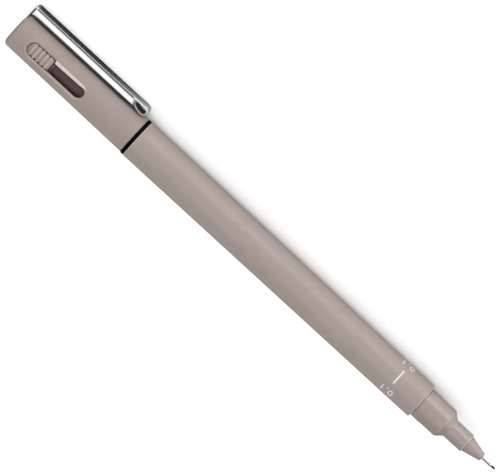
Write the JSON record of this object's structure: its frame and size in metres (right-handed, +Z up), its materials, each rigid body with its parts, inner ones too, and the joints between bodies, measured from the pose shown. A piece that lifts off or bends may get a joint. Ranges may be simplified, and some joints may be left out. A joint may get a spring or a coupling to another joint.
{
  "type": "fineliner pen",
  "caption": "Slim fineliner pen with a steel-sleeved nib in a stepped front section, and a cap with a sprung steel clip that pulls off the tail post.",
  "frame": {"origin": "on the pen's axis, at the barrel's front shoulder, where the section's cap seat begins", "axes": "+X along the pen from the nib towards the cap's closed end, +Z up; the pen lies on its barrel with one edge of the clip on the same surface, the clip on the -Y side"},
  "size_m": [0.1571, 0.013, 0.0106],
  "materials": {
    "body_plastic": "satin moulded plastic, warm grey",
    "liner_plastic": "satin moulded plastic, warm grey",
    "tail_plastic": "black moulded plastic",
    "sleeve_steel": "bright drawn steel tube",
    "nib_core": "ink-stained plastic core",
    "wick_fibre": "bonded fibre rod, ink-stained",
    "reservoir_fibre": "bonded fibre wad, ink-soaked",
    "film_plastic": "thin clear film",
    "clip_chrome": "polished plated steel"
  },
  "bodies": {
    "barrel": {"barrel": "body_plastic", "section": "body_plastic", "tip_cone": "body_plastic", "nib_sleeve": "sleeve_steel", "nib": "nib_core", "ink_wick": "wick_fibre", "ink_reservoir": "reservoir_fibre", "reservoir_film": "film_plastic", "tail_plug": "tail_plastic"},
    "cap": {"cap_shell": "body_plastic", "inner_cap": "liner_plastic", "clip_root": "clip_chrome"},
    "clip": {"clip_arm": "clip_chrome"}
  },
  "joints": [
    {"name": "cap_pull", "type": "slide", "parent": "barrel", "child": "cap", "axis": [1, 0, 0], "range_m": [0, 0.025]},
    {"name": "clip_flex", "type": "hinge", "parent": "cap", "child": "clip", "pos_m": [0.1322, -0.00621, -0.00322], "axis": [0, -0.4606, 0.8876], "range_deg": [0, 3.5], "stiffness_Nm_per_rad": 1.2, "springref_deg": -0.57}
  ]
}
